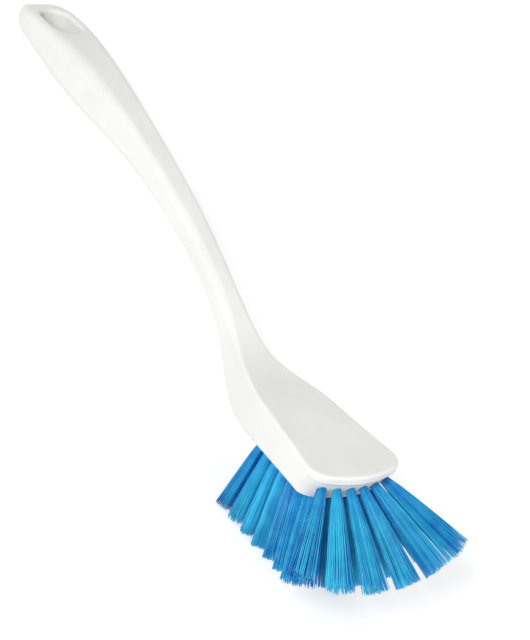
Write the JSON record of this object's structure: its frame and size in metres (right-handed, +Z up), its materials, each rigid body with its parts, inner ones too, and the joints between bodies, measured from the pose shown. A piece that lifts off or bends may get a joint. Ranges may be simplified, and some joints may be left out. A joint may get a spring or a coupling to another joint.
{
  "type": "dish brush",
  "caption": "Dish brush: one-piece moulded handle with a hanging slot, slender neck and spade-shaped head, and bristle tufts set in a fan under the head.",
  "frame": {"origin": "middle of the bounding box, on the table that the brush lies on", "axes": "+X along the brush towards the front of its head; +Y across it, with Y = 0 its mirror plane; +Z up, with the brush lying on its bristle tips and the end of its handle"},
  "size_m": [0.2946, 0.0826, 0.0595],
  "materials": {
    "moulding": "white polypropylene, satin from the mould",
    "bristle": "blue filaments, glossy, cut square at the tips",
    "anchor": "plain flat wire"
  },
  "bodies": {
    "root": {"anchors_row_1": "anchor", "anchors_row_2": "anchor", "anchors_row_3": "anchor", "anchors_row_4": "anchor", "anchors_row_5": "anchor", "anchors_row_6": "anchor", "anchors_row_7": "anchor", "anchors_row_8": "anchor", "handle_and_head": "moulding", "tuft_row_1_1": "bristle", "tuft_row_1_2": "bristle", "tuft_row_1_3": "bristle", "tuft_row_1_4": "bristle", "tuft_row_1_5": "bristle", "tuft_row_2_1": "bristle", "tuft_row_2_2": "bristle", "tuft_row_2_3": "bristle", "tuft_row_2_4": "bristle", "tuft_row_2_5": "bristle", "tuft_row_2_6": "bristle", "tuft_row_3_1": "bristle", "tuft_row_3_2": "bristle", "tuft_row_3_3": "bristle", "tuft_row_3_4": "bristle", "tuft_row_3_5": "bristle", "tuft_row_4_1": "bristle", "tuft_row_4_2": "bristle", "tuft_row_4_3": "bristle", "tuft_row_4_4": "bristle", "tuft_row_4_5": "bristle", "tuft_row_4_6": "bristle", "tuft_row_5_1": "bristle", "tuft_row_5_2": "bristle", "tuft_row_5_3": "bristle", "tuft_row_5_4": "bristle", "tuft_row_5_5": "bristle", "tuft_row_6_1": "bristle", "tuft_row_6_2": "bristle", "tuft_row_6_3": "bristle", "tuft_row_6_4": "bristle", "tuft_row_6_5": "bristle", "tuft_row_6_6": "bristle", "tuft_row_7_1": "bristle", "tuft_row_7_2": "bristle", "tuft_row_7_3": "bristle", "tuft_row_7_4": "bristle", "tuft_row_7_5": "bristle", "tuft_row_8_1": "bristle", "tuft_row_8_2": "bristle", "tuft_row_8_3": "bristle", "tuft_row_8_4": "bristle", "tuft_row_8_5": "bristle", "tuft_row_8_6": "bristle"}
  },
  "joints": []
}
